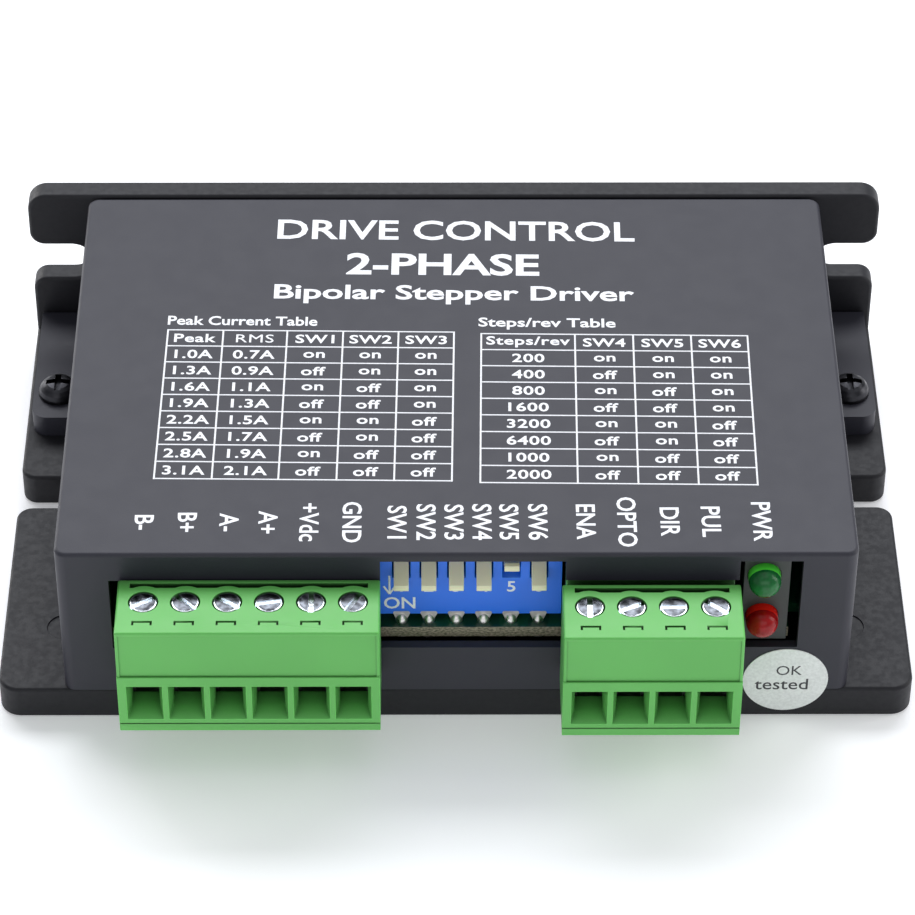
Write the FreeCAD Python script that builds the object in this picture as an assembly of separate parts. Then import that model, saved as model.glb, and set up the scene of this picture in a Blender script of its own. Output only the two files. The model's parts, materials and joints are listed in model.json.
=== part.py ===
import FreeCAD, Part
import math
import os
from FreeCAD import Vector

# Stepper driver module, millimetres.
# X runs along the row of terminals, Y from the terminals to the back plate, Z up.
# The origin is the middle of the base plate's underside.

# Driving dimensions
width = 86.0
depth = 55.0
height = 21.0
front = -depth / 2
back = depth / 2

# Heat sink bracket: a base plate and a back plate in one L-shaped casting
base_thick = 3.6
back_thick = 2.4
corner_radius = 2.0
slot_width = 4.3
slot_end_x = 38.9          # centre of a slot's round end
back_slot_z = 12.5
slot_mouth_radius = 1.5
casting_edge = 0.35        # radius on the casting's outer edges
pedestal = (30.0, 18.0, 2.1)
pedestal_y = 3.0
ejector_mark = (37.2, -19.1, 1.7, 0.12)   # x, y, radius, depth

# Cover
cover_width = 73.4
cover_back = back - back_thick - 0.3
cover_top = height - 0.05
cover_wall = 0.9
cover_roof = 0.9
cover_corner = 1.1         # radius of the cover's upright corners
cover_edge = 0.4           # radius round its top
opening_span = (-31.85, 31.65)
opening_bottom = 9.1
lintel_bottom = 17.7
dip_window = (-7.0, 10.0)
led_window = (25.9, 31.65)
lug_x = 42.3
lug_front = 8.4
lug_top = 6.0
cover_screw = (39.8, 12.2)

# Circuit board
board_top = 10.1
board_thick = 1.2
board_bottom = board_top - board_thick
board_half = 35.0
board_front = -25.8
board_back = 23.2
board_notch = (30.9, -22.6)  # the corner cut away behind the lamps' opening, from this X and up to this Y
boss_points = [(-31.5, 19.5), (31.5, 19.5), (-32.0, -11.5), (32.0, -11.5)]
boss_radius = 2.4
controller_point = (-7.0, 7.0)
capacitor_points = [(-24.5, 12.5), (-24.5, 0.8)]
regulator_point = (11.0, 14.5)
inductor_point = (21.0, 14.0)
crystal_point = (-7.0, 17.5)

# Pluggable terminals
pitch = 3.81
end_margin = 1.07          # a plug is its pitches plus this wide
plug_front = -34.7
plug_back = -27.75
plug_bottom = 6.0
plug_top = 18.0
plug_step_top = 12.85
plug_step = 0.5
plug_lean = 0.35           # how far the upper panel leans out by the step
plug_edge = 0.2
nose_end = -20.2
nose_bottom = 11.2
nose_top = 16.2
nose_side = 1.05
screw_y = -30.58
screw_top = 17.95
screw_head = (1.25, 1.15)      # radius, height
funnel_depth = 1.2
connectors = [
    {"name": "6way", "ways": 6, "x": -18.95, "y": 0.0,
     "slots": [30, -45, -35, 10, 90, 60]},
    {"name": "4way", "ways": 4, "x": 17.8, "y": -0.7,
     "slots": [90, 25, 0, -40]},
]

# Header that takes the plug
header_front = -27.1
header_back = -17.9
header_top = 17.35
header_inset = 0.42        # how much narrower it is than the plug, at each end
cavity_side = 0.93         # from the plug's side to the cavity's
cavity_end = -19.5
pin_size = 0.8
pin_z = 13.6
pin_leg_y = -16.8

# Configuration switch with six side levers
dip_x = 1.27               # middle of the row of levers
dip_body_x = 1.35
dip_half = 8.4
dip_front = -24.9
dip_back = -16.5
dip_bottom = 10.95
dip_top = 19.95
lever_pitch = 2.54
lever_pivot = (-23.3, 16.98)      # y, z
lever_reach = 3.6
lever_width = 1.38
lever_swing = 23.0
levers_up = [5]

# Indicator lamps
led_x = 28.2
led_radius = 1.5
led_face = -26.9
led_proud = 0.8
lamps = {"led_red": 12.6, "led_green": 17.7}
holder_x = (26.35, 30.6)
holder_z = (9.6, 19.5)

X_AXIS = Vector(1, 0, 0)
Y_AXIS = Vector(0, 1, 0)
Z_AXIS = Vector(0, 0, 1)


def block(x0, x1, y0, y1, z0, z1):
    return Part.makeBox(x1 - x0, y1 - y0, z1 - z0, Vector(x0, y0, z0))


def centred(x, y, wide, deep, z0, z1):
    return block(x - wide / 2, x + wide / 2, y - deep / 2, y + deep / 2, z0, z1)


def rod(radius, length, start, axis=Z_AXIS):
    return Part.makeCylinder(radius, length, Vector(*start), axis)


def joined(shapes):
    return shapes[0].multiFuse(shapes[1:]).removeSplitter() if len(shapes) > 1 else shapes[0]


def rounded(shape, radius, axis, *places):
    """Rounds the straight edges that run along one axis and pass through the given places.

    A place gives the two coordinates across the axis, in X, Y, Z order.
    """
    across = {"x": (1, 2), "y": (0, 2), "z": (0, 1)}[axis]
    chosen = []
    for edge in shape.Edges:
        start, end = (vertex.Point for vertex in (edge.Vertexes[0], edge.Vertexes[-1]))
        for place in places:
            gaps = [abs(point[k] - place[n]) for point in (start, end) for n, k in enumerate(across)]
            if max(gaps) < 1e-4:
                chosen.append(edge)
    return shape.makeFillet(radius, chosen)


def funnel(x, wide, z0, z1, y0, narrow, inner_z0, inner_z1, y1):
    """A four-sided opening that narrows from the plane y0 to the plane y1."""
    def frame(half, low, high, y):
        corners = [(-half, low), (half, low), (half, high), (-half, high), (-half, low)]
        return Part.makePolygon([Vector(x + dx, y, z) for dx, z in corners])
    return Part.makeLoft([frame(wide / 2, z0, z1, y0), frame(narrow / 2, inner_z0, inner_z1, y1)], True)


def save(name, shapes):
    shape = shapes if isinstance(shapes, Part.Shape) else Part.makeCompound(shapes)
    for solid in shape.Solids:
        if not solid.isValid():
            print("NOT VALID", name)
    print("%-24s %2d solids %9.2f mm3" % (name, len(shape.Solids), shape.Volume))
    shape.exportStep("parts/%s.step" % name)


# ---- heat sink bracket ----------------------------------------------------

def side_slot(side, thickness_axis):
    """An open U-slot that runs in from the side of one of the two plates."""
    reach = width / 2 - slot_end_x + 1
    if thickness_axis == "z":
        end = rod(slot_width / 2, base_thick + 2, (side * slot_end_x, 0, -1))
        lane = centred(side * (slot_end_x + reach / 2), 0, reach, slot_width, -1, base_thick + 1)
    else:
        start_y = back - back_thick - 1
        end = rod(slot_width / 2, back_thick + 2, (side * slot_end_x, start_y, back_slot_z), Y_AXIS)
        lane = centred(side * (slot_end_x + reach / 2), start_y + back_thick / 2 + 1, reach,
                       back_thick + 2, back_slot_z - slot_width / 2, back_slot_z + slot_width / 2)
    return end.fuse(lane)


def heat_sink_bracket():
    half = width / 2
    gap = slot_width / 2
    base = block(-half, half, front, back, 0, base_thick).cut([side_slot(side, "z") for side in (-1, 1)])
    mouths = [(x, y) for x in (-half, half) for y in (-gap, gap)]
    base = rounded(base, slot_mouth_radius, "z", *mouths)
    base = rounded(base, corner_radius, "z", (-half, front), (half, front))
    plate = block(-half, half, back - back_thick, back, 0, height)
    plate = plate.cut([side_slot(side, "y") for side in (-1, 1)])
    mouths = [(x, back_slot_z + dz) for x in (-half, half) for dz in (-gap, gap)]
    plate = rounded(plate, slot_mouth_radius, "y", *mouths)
    plate = rounded(plate, corner_radius, "y", (-half, height), (half, height))
    wide, deep, tall = pedestal
    stand = centred(0, pedestal_y, wide, deep, base_thick - 0.5, base_thick + tall)
    bosses = [rod(boss_radius, board_bottom - base_thick + 0.5, (x, y, base_thick - 0.5))
              for x, y in boss_points]
    casting = joined([base, plate, stand] + bosses)
    outer = []
    for edge in casting.Edges:
        box = edge.BoundBox
        along_front = abs(box.YMin - front) < 1e-4 and abs(box.YMax - front) < 1e-4
        on_top = abs(box.ZMin - height) < 1e-4
        if (along_front or on_top) and box.XLength > half:
            outer.append(edge)
    casting = casting.makeFillet(casting_edge, outer)
    cuts = []
    for side in (-1, 1):
        x, y = cover_screw
        cuts.append(rod(1.25, base_thick + 2, (side * x, y, -1)))
        mark_x, mark_y, mark_r, mark_d = ejector_mark
        cuts.append(rod(mark_r, 1, (side * mark_x, mark_y, base_thick - mark_d)))
    for x, y in boss_points:
        cuts.append(rod(1.0, 4.0, (x, y, board_bottom - 3.9)))
    return casting.cut(cuts)


# ---- cover ----------------------------------------------------------------

def cover():
    half = cover_width / 2
    lugs = []
    for side in (-1, 1):
        lug = block(*sorted((side * (half - 1), side * lug_x)), lug_front, cover_back, base_thick, lug_top)
        lug = rounded(lug, 1.5, "z", (side * lug_x, lug_front))
        lugs.append(lug)
    shell = block(-half, half, front, cover_back, base_thick, cover_top)
    corners = [(x, y) for x in (-half, half) for y in (front, cover_back)]
    shell = rounded(shell, cover_corner, "z", *corners)
    rim = [edge for edge in shell.Edges if abs(edge.BoundBox.ZMin - cover_top) < 1e-4]
    shell = shell.makeFillet(cover_edge, rim)
    shell = joined([shell] + lugs)
    hollow = block(-half + cover_wall, half - cover_wall, front + cover_wall, cover_back - cover_wall,
                   base_thick - 1, cover_top - cover_roof)
    inner_top = cover_top - cover_roof
    through = (front - 1, front + cover_wall + 0.1)
    windows = [block(*opening_span, *through, opening_bottom, lintel_bottom),
               block(*dip_window, *through, opening_bottom, inner_top),
               block(*led_window, *through, opening_bottom, inner_top)]
    x, y = cover_screw
    holes = [rod(1.4, 10, (side * x, y, base_thick - 1)) for side in (-1, 1)]
    return shell.cut([hollow] + windows + holes)


def pan_head_screw(x, y, seat, head_radius, head_height, shank_radius, length):
    """A cross-recessed pan head screw, standing on its seat, with its shank down."""
    head = rod(head_radius, head_height, (x, y, seat))
    top = [edge for edge in head.Edges if edge.BoundBox.ZMin > seat + head_height - 1e-4]
    head = head.makeFillet(head_height * 0.55, top)
    screw = joined([head, rod(shank_radius, length + 0.1, (x, y, seat - length))])
    deep = head_height * 0.6
    arm = head_radius * 1.2
    groove = head_radius * 0.33
    cross = [centred(x, y, arm, groove, seat + head_height - deep, seat + head_height + 1),
             centred(x, y, groove, arm, seat + head_height - deep, seat + head_height + 1)]
    return screw.cut(cross)


def cover_screws():
    x, y = cover_screw
    return [pan_head_screw(side * x, y, lug_top, 2.0, 1.6, 1.2, 5.2) for side in (-1, 1)]


# ---- circuit board and what stands on it ------------------------------------

def connector_ways(connector):
    first = connector["x"] - (connector["ways"] - 1) * pitch / 2
    return [first + n * pitch for n in range(connector["ways"])]


def lever_ways():
    return [dip_x + (n - 2.5) * lever_pitch for n in range(6)]


def lead_points():
    """Where the lamps' wires go down through the board."""
    rows = {"led_red": -21.9, "led_green": -20.5}
    return {name: [(led_x - 0.7, y), (led_x + 0.7, y)] for name, y in rows.items()}


def board():
    plate = block(-board_half, board_half, board_front, board_back, board_bottom, board_top)
    corners = [(x, y) for x in (-board_half, board_half) for y in (board_front, board_back)]
    plate = rounded(plate, 1.0, "z", *corners)
    holes = [(x, y, 1.1) for x, y in boss_points]
    for connector in connectors:
        holes += [(x, pin_leg_y, 0.65) for x in connector_ways(connector)]
    holes += [(x, y, 0.4) for x in lever_ways() for y in (dip_front + 0.2, dip_back - 0.6)]
    holes += [(x, y, 0.4) for row in lead_points().values() for x, y in row]
    notch = block(board_notch[0], board_half + 1, board_front - 1, board_notch[1], board_bottom - 1, board_top + 1)
    return plate.cut([notch] + [rod(radius, 4, (x, y, board_bottom - 1)) for x, y, radius in holes])


def board_screws():
    return [pan_head_screw(x, y, board_top, 1.9, 1.2, 0.95, 4.6) for x, y in boss_points]


def power_drivers():
    top = board_bottom
    return [centred(side * 7.2, pedestal_y, 12.0, 12.0, top - 2.4, top) for side in (-1, 1)]


def thermal_pad():
    wide, deep, tall = pedestal
    return centred(0, pedestal_y, wide - 1, deep - 1, base_thick + tall, board_bottom - 2.4)


def controller_chip():
    x, y = controller_point
    body = centred(x, y, 10.0, 10.0, board_top + 0.15, board_top + 1.55)
    dimple = rod(0.5, 1, (x - 4.0, y - 4.0, board_top + 1.45))
    return body.cut(dimple)


def controller_leads():
    """Eleven gull-wing leads on each of the chip's four sides."""
    cx, cy = controller_point
    leads = []
    for n in range(11):
        offset = (n - 5) * 0.8
        for side in (-1, 1):
            leads.append(centred(cx + offset, cy + side * 5.5, 0.35, 1.0, board_top, board_top + 0.8))
            leads.append(centred(cx + side * 5.5, cy + offset, 1.0, 0.35, board_top, board_top + 0.8))
    return leads


def optocouplers():
    return [centred(x, -9.5, 4.4, 6.5, board_top, board_top + 2.1) for x in (10.5, 16.5, 22.5)]


def capacitor_bases():
    bases = []
    for x, y in capacitor_points:
        base = centred(x, y, 10.3, 10.3, board_top, board_top + 1.0)
        bases.append(rounded(base, 1.2, "z", (x - 5.15, y - 5.15), (x + 5.15, y - 5.15)))
    return bases


def capacitor_cans():
    cans = []
    for x, y in capacitor_points:
        can = rod(4.95, 7.9, (x, y, board_top + 1.0))
        top = [edge for edge in can.Edges if edge.BoundBox.ZMin > board_top + 8.8]
        cans.append(can.makeFillet(0.5, top))
    return cans


def voltage_regulator():
    x, y = regulator_point
    body = centred(x, y, 6.5, 6.1, board_top + 0.1, board_top + 2.3)
    tab = centred(x, y + 3.8, 5.2, 1.5, board_top, board_top + 0.6)
    legs = [centred(x + dx, y - 4.2, 0.8, 2.3, board_top, board_top + 0.6) for dx in (-2.3, 2.3)]
    return joined([body, tab] + legs)


def inductor():
    x, y = inductor_point
    core = centred(x, y, 7.3, 7.3, board_top, board_top + 4.2)
    corners = [(x + dx, y + dy) for dx in (-3.65, 3.65) for dy in (-3.65, 3.65)]
    return rounded(core, 1.4, "z", *corners)


def crystal():
    x, y = crystal_point
    can = centred(x, y, 11.0, 4.6, board_top, board_top + 3.5)
    ends = [(x + dx, y + dy) for dx in (-5.5, 5.5) for dy in (-2.3, 2.3)]
    return rounded(can, 2.25, "z", *ends)


def sense_resistors():
    return [centred(x, -11.0, 3.2, 6.3, board_top, board_top + 0.65) for x in (-24.5, -19.0)]


def chip_parts():
    """Small resistors and capacitors in two rows."""
    rows = [(2.5, 2.0), (2.5, 6.0)]
    return [centred(x + n * 2.6, y, 1.3, 2.0, board_top, board_top + 0.7)
            for x, y in rows for n in range(8)]


# ---- headers and plugs ------------------------------------------------------

def connector_span(connector):
    half = (connector["ways"] * pitch + end_margin) / 2
    return connector["x"] - half, connector["x"] + half


def header(connector):
    x0, x1 = connector_span(connector)
    body = block(x0 + header_inset, x1 - header_inset, header_front, header_back, board_top, header_top)
    cavity = block(x0 + cavity_side, x1 - cavity_side, header_front - 1, cavity_end,
                   nose_bottom - 0.12, nose_top + 0.12)
    ways = [centred(x, (cavity_end + header_back) / 2, pin_size, 3.0, pin_z - pin_size / 2,
                    pin_z + pin_size / 2) for x in connector_ways(connector)]
    return body.cut([cavity] + ways)


def header_pins(connector):
    """Right-angle pins: forward into the plug, and down through the board."""
    half = pin_size / 2
    pins = []
    for x in connector_ways(connector):
        arm = block(x - half, x + half, header_front + 1.1, pin_leg_y + half, pin_z - half, pin_z + half)
        leg = block(x - half, x + half, pin_leg_y - half, pin_leg_y + half, board_bottom - 1.4, pin_z)
        pins.append(joined([arm, leg]))
    return pins


def finger_notch(x):
    """Three narrow grooves in the plug's top, open towards the front."""
    floor = plug_top - 0.35
    grooves = [block(x - 0.93, x + 0.93, -33.3, -33.05, floor, plug_top + 1)]
    for leg_x in (x - 0.83, x + 0.83):
        grooves.append(block(leg_x - 0.1, leg_x + 0.1, -33.62, -33.05, floor, plug_top + 1))
    return joined(grooves)


def side_prism(x0, x1, corners):
    """A solid along X with the given corners, each as Y and Z."""
    outline = Part.makePolygon([Vector(x0, y, z) for y, z in corners + corners[:1]])
    return Part.Face(outline).extrude(Vector(x1 - x0, 0, 0))


def plug_shell(x0, x1):
    """The plug's outside: a leaning upper panel above a step that holds the wire entries."""
    lower_y = plug_front - plug_lean
    corners = [(plug_back, plug_bottom), (plug_back, plug_top), (plug_front, plug_top),
               (lower_y, plug_step_top), (lower_y, plug_bottom)]
    body = side_prism(x0, x1, corners)
    soft = [edge for edge in body.Edges if edge.BoundBox.ZMax > plug_top - 0.01
            and edge.BoundBox.ZMin > plug_step_top - 0.01 and edge.BoundBox.YMin < plug_back - 0.05]
    body = body.makeFillet(plug_edge, soft)
    face_y = plug_front - plug_step
    step = block(x0, x1, face_y, plug_front + 1, plug_bottom, plug_step_top)
    step = rounded(step, 0.1, "x", (face_y, plug_step_top), (face_y, plug_bottom))
    nose = block(x0 + nose_side, x1 - nose_side, plug_back - 1, nose_end, nose_bottom, nose_top)
    return joined([body, step, nose])


def plug_panel(x0, x1):
    """The shallow recess in the leaning upper panel."""
    top_z = plug_top - 0.35
    top_y = plug_front - plug_lean * 0.35 / (plug_top - plug_step_top) + 0.08
    low_y = plug_front - plug_lean + 0.08
    front_y = plug_front - 1
    return side_prism(x0 + 0.3, x1 - 0.3, [(top_y, top_z), (front_y, top_z), (front_y, plug_step_top),
                                           (low_y, plug_step_top)])


def plug_body(connector):
    x0, x1 = connector_span(connector)
    solid = plug_shell(x0, x1)
    entry_face = plug_front - plug_step
    inner_face = entry_face + funnel_depth
    line_z = plug_bottom + 0.88
    cuts = [plug_panel(x0, x1),
            block(x0 - 1, x1 + 1, entry_face - 1, entry_face + 0.15, line_z, line_z + 0.16)]
    slot = block(x0 + 1.1, x1 - 1.1, -28.73, -28.12, plug_top - 2.6, plug_top + 1)
    for x in connector_ways(connector):
        slot = slot.cut(rod(2.1, 4, (x, screw_y, plug_top - 3)))
        cuts += [
            funnel(x, 3.3, 7.5, 11.7, entry_face - 0.01, 2.6, 8.2, 11.5, inner_face),
            centred(x, (inner_face + screw_y) / 2, 2.6, screw_y - inner_face + 0.1, 8.2, 11.5),
            centred(x, screw_y, 3.1, 3.4, plug_bottom + 0.8, 15.3),
            rod(1.1, 3, (x, screw_y, 15.0)),
            rod(screw_head[0] + 0.13, 3, (x, screw_y, screw_top - screw_head[1] - 0.05)),
            finger_notch(x),
            block(x - 1.05, x + 1.05, screw_y + 1.6, plug_back + 0.4, 11.6, 14.7),
            block(x - 0.9, x + 0.9, plug_back, nose_end + 1, 12.7, 14.5),
        ]
    return solid.cut([slot] + cuts)


def plug_contacts(connector):
    """A flat bar under each screw that forks into two leaves round the header's pin."""
    contacts = []
    for x in connector_ways(connector):
        bar = centred(x, -30.1, 2.0, 3.8, 11.7, 12.3)
        riser = block(x - 1.0, x + 1.0, -28.6, -28.0, 11.7, 14.35)
        leaves = [block(x - 0.7, x + 0.7, -28.3, nose_end - 0.6, z, z + 0.3) for z in (12.85, 14.05)]
        contacts.append(joined([bar, riser] + leaves))
    return contacts


def terminal_screw(x, slot_angle):
    radius, tall = screw_head
    head = rod(radius, tall, (x, screw_y, screw_top - tall))
    top = [edge for edge in head.Edges if edge.BoundBox.ZMin > screw_top - 0.01]
    head = head.makeFillet(0.15, top)
    slot = block(-2, 2, -0.26, 0.26, screw_top - 0.6, screw_top + 1)
    slot.rotate(Vector(0, 0, 0), Z_AXIS, slot_angle)
    slot.translate(Vector(x, screw_y, 0))
    return joined([head, rod(0.95, 4.3, (x, screw_y, 12.35))]).cut(slot)


def clamp_cage(x):
    cage = centred(x, screw_y, 2.9, 3.0, 6.9, 13.4)
    window = centred(x, screw_y, 2.1, 4.0, 7.3, 12.5)
    thread = rod(1.0, 3, (x, screw_y, 12.0))
    return cage.cut([window, thread])


# ---- configuration switch ----------------------------------------------------

def dip_body():
    left = dip_body_x - dip_half
    right = dip_body_x + dip_half
    body = block(left, right, dip_front, dip_back, dip_bottom, dip_top)
    feet = [block(x, x + 1.0, dip_front + 1.5, dip_back - 1.5, board_top, dip_bottom)
            for x in (left, right - 1.0)]
    pivot_y, pivot_z = lever_pivot
    half = lever_width / 2 + 0.16
    slots = [block(x - half, x + half, dip_front - 1, pivot_y + 1.35, pivot_z - 1.45, pivot_z + 1.92)
             for x in lever_ways()]
    bore = rod(0.42, 2 * dip_half - 1.0, (left + 0.5, pivot_y, pivot_z), X_AXIS)
    return joined([body] + feet).cut(slots + [bore])


def dip_axle():
    pivot_y, pivot_z = lever_pivot
    return rod(0.4, 2 * dip_half - 1.2, (dip_body_x - dip_half + 0.6, pivot_y, pivot_z), X_AXIS)


def dip_pins():
    """Shouldered pins under the switch, one pair for each lever."""
    pins = []
    for x in lever_ways():
        for y in (dip_front + 0.2, dip_back - 0.6):
            shoulder = centred(x, y, 1.4, 0.3, board_top, dip_bottom)
            pin = centred(x, y, 0.5, 0.3, board_bottom - 0.9, dip_bottom)
            pins.append(joined([shoulder, pin]))
    return pins


def dip_lever(x, up):
    """A hub with a tapered arm towards the front, turned to one end of its swing."""
    pivot_y, pivot_z = lever_pivot
    start = x - lever_width / 2
    hub = rod(1.05, lever_width, (start, pivot_y, pivot_z), X_AXIS)
    side = [(0, 0.85), (-lever_reach + 0.25, 0.42), (-lever_reach, 0.17), (-lever_reach, -0.17),
            (-lever_reach + 0.25, -0.42), (0, -0.85), (0, 0.85)]
    outline = Part.makePolygon([Vector(start, pivot_y + dy, pivot_z + dz) for dy, dz in side])
    arm = Part.Face(outline).extrude(Vector(lever_width, 0, 0))
    lever = joined([hub, arm]).cut(rod(0.46, 4, (x - 2, pivot_y, pivot_z), X_AXIS))
    lever.rotate(Vector(x, pivot_y, pivot_z), X_AXIS, -lever_swing if up else lever_swing)
    return lever


# ---- indicator lamps and seal --------------------------------------------------

def led_holder():
    body = block(*holder_x, led_face, led_face + 3.9, *holder_z)
    under = block(holder_x[0] - 1, holder_x[1] + 1, board_front - 0.05, led_face + 5, holder_z[0] - 1,
                  board_top)
    bores = [rod(led_radius + 0.05, 6, (led_x, led_face - 1, z), Y_AXIS) for z in lamps.values()]
    return body.cut([under] + bores)


def lamp(z):
    dome_y = led_face - led_proud
    barrel = rod(led_radius, 4.5, (led_x, dome_y, z), Y_AXIS)
    dome = Part.makeSphere(led_radius, Vector(led_x, dome_y, z))
    return joined([barrel, dome])


def lamp_leads():
    """Two square wires from each lamp, back and then down through the board."""
    leads = []
    start_y = led_face - led_proud + 4.5
    for name, points in lead_points().items():
        z = lamps[name]
        for x, y in points:
            arm = centred(x, (start_y + y + 0.25) / 2, 0.5, y + 0.25 - start_y, z - 0.25, z + 0.25)
            leg = centred(x, y, 0.5, 0.5, board_bottom - 0.9, z + 0.25)
            leads.append(joined([arm, leg]))
    return leads


def seal_sticker():
    return rod(4.0, 0.1, (30.8, front - 0.1, 4.87), Y_AXIS)


def main():
    os.makedirs("parts", exist_ok=True)
    save("heat_sink_bracket", heat_sink_bracket())
    save("cover", cover())
    save("cover_screws", cover_screws())
    save("circuit_board", board())
    save("board_screws", board_screws())
    save("power_drivers", power_drivers())
    save("thermal_pad", thermal_pad())
    save("controller_chip", controller_chip())
    save("controller_leads", controller_leads())
    save("optocouplers", optocouplers())
    save("capacitor_bases", capacitor_bases())
    save("capacitor_cans", capacitor_cans())
    save("voltage_regulator", voltage_regulator())
    save("inductor", inductor())
    save("crystal", crystal())
    save("sense_resistors", sense_resistors())
    save("chip_parts", chip_parts())
    number = 0
    for connector in connectors:
        name = connector["name"]
        shift = Vector(0, connector["y"], 0)
        save("header_" + name, header(connector))
        save("header_pins_" + name, header_pins(connector))
        save("plug_body_" + name, plug_body(connector).translated(shift))
        save("plug_contacts_" + name, [part.translated(shift) for part in plug_contacts(connector)])
        for x, angle in zip(connector_ways(connector), connector["slots"]):
            number += 1
            save("terminal_screw_%d" % number, terminal_screw(x, angle).translated(shift))
            save("clamp_cage_%d" % number, clamp_cage(x).translated(shift))
    save("dip_switch_body", dip_body())
    save("dip_switch_axle", dip_axle())
    save("dip_switch_pins", dip_pins())
    for index, x in enumerate(lever_ways()):
        save("dip_lever_%d" % (index + 1), dip_lever(x, index + 1 in levers_up))
    save("led_holder", led_holder())
    for name, z in lamps.items():
        save(name, lamp(z))
    save("led_leads", lamp_leads())
    save("seal_sticker", seal_sticker())


main()
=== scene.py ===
import json
import math
import bmesh
import bpy
from mathutils import Matrix, Vector


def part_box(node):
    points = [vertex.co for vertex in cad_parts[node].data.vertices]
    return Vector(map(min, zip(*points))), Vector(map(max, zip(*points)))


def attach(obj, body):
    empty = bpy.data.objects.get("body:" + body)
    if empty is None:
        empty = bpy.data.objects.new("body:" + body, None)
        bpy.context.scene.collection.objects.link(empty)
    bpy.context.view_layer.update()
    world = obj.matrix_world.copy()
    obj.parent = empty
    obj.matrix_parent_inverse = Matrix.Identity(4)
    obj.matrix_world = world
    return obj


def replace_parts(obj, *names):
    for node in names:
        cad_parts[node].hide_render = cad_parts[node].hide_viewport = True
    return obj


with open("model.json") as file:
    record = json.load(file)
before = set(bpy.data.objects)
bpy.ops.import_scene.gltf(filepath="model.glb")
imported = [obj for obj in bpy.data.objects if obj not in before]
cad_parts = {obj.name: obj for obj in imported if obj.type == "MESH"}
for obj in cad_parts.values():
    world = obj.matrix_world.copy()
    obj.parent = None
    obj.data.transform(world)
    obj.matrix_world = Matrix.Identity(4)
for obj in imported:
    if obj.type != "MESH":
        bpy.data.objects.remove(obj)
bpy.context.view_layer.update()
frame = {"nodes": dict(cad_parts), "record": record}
cadNodes = frame["nodes"]
bodies = frame["record"]["behaviour"]["bodies"]
bodyOf = {node: body for body, members in bodies.items() for node in members}
slotOf = {part["node"]: part["material_slot"] for part in frame["record"]["subparts"]}
mm = 0.001

print("camera and studio")

view = {
    "place": (-2.19, -293.35, 271.35),      # mm
    "forward": (0.006222, 0.744274, -0.667846),
    "right": (0.99998, -0.005353, 0.003352),
    "lens": 158.06,
    "filmWidth": 36.0,
    "nearest": 0.01,                        # metres
    "farthest": 10.0,
}


def placeCamera():
    camera = bpy.data.cameras.new("studioCamera")
    camera.lens = view["lens"]
    camera.sensor_width = view["filmWidth"]
    camera.clip_start = view["nearest"]
    camera.clip_end = view["farthest"]
    cameraObject = bpy.data.objects.new("studioCamera", camera)
    bpy.context.scene.collection.objects.link(cameraObject)
    back = -Vector(view["forward"]).normalized()
    right = Vector(view["right"])
    right = (right - back * right.dot(back)).normalized()
    turn = Matrix((right, back.cross(right), back)).transposed()
    cameraObject.matrix_world = Matrix.Translation(Vector(view["place"]) * mm) @ turn.to_4x4()
    bpy.context.scene.camera = cameraObject


studio = {
    "floorHalf": 1.5,                       # metres
    "floorRoughness": 0.85,
    "aim": (0, 0, 0.01),
    "floorColour": (0.93, 0.93, 0.94, 1.0),
    "floorGlow": 0.26,                      # the paper is lit a little from below
    "skyColour": (0.90, 0.93, 1.0, 1.0),
    "skyStrength": 0.42,
    # place, size, watts and colour of each soft box, all aimed at the housing
    "boxes": {
        "backBox": ((0.0, 0.75, 0.93), (1.4, 0.52), 14.0, (0.94, 0.96, 1.0)),
        "topBox": ((0.0, -0.1, 1.1), (0.8, 0.8), 0.8, (1.0, 1.0, 1.0)),
        "frontBox": ((0.0, -1.0, 0.50), (1.2, 0.5), 1.8, (1.0, 1.0, 1.0)),
        "leftBox": ((-0.75, 0.70, 0.26), (0.4, 0.5), 4.0, (1.0, 0.99, 0.97)),
        "rightBox": ((0.80, 0.10, 0.35), (0.4, 0.6), 2.5, (1.0, 0.99, 0.97)),
    },
}


def lightStudio():
    aim = Vector(studio["aim"])
    for name, (place, size, watts, colour) in studio["boxes"].items():
        light = bpy.data.lights.new(name, "AREA")
        light.shape = "RECTANGLE"
        light.size, light.size_y = size
        light.energy = watts
        light.color = colour
        lamp = bpy.data.objects.new(name, light)
        lamp.location = place
        lamp.rotation_euler = (aim - Vector(place)).to_track_quat("-Z", "Y").to_euler()
        bpy.context.scene.collection.objects.link(lamp)
    world = bpy.data.worlds.new("studioSky")
    world.use_nodes = True
    sky = world.node_tree.nodes["Background"]
    sky.inputs["Color"].default_value = studio["skyColour"]
    sky.inputs["Strength"].default_value = studio["skyStrength"]
    bpy.context.scene.world = world
    half = studio["floorHalf"]
    mesh = bpy.data.meshes.new("floor")
    corners = [(-half, -half, 0), (half, -half, 0), (half, half, 0), (-half, half, 0)]
    mesh.from_pydata(corners, [], [(0, 1, 2, 3)])
    floor = bpy.data.objects.new("floor", mesh)
    bpy.context.scene.collection.objects.link(floor)
    paper = bpy.data.materials.new("studioPaper")
    paper.use_nodes = True
    shader = paper.node_tree.nodes["Principled BSDF"]
    shader.inputs["Base Color"].default_value = studio["floorColour"]
    shader.inputs["Emission Color"].default_value = studio["floorColour"]
    shader.inputs["Emission Strength"].default_value = studio["floorGlow"]
    shader.inputs["Roughness"].default_value = studio["floorRoughness"]
    mesh.materials.append(paper)


placeCamera()
lightStudio()
bpy.context.scene.view_settings.view_transform = "Standard"

print("materials")


def startMaterial(name, colour, roughness, metallic=0.0):
    material = bpy.data.materials.new(name)
    material.use_nodes = True
    tree = material.node_tree
    shader = tree.nodes["Principled BSDF"]
    shader.inputs["Base Color"].default_value = (*colour, 1.0)
    shader.inputs["Roughness"].default_value = roughness
    shader.inputs["Metallic"].default_value = metallic
    return material, tree, shader


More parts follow.
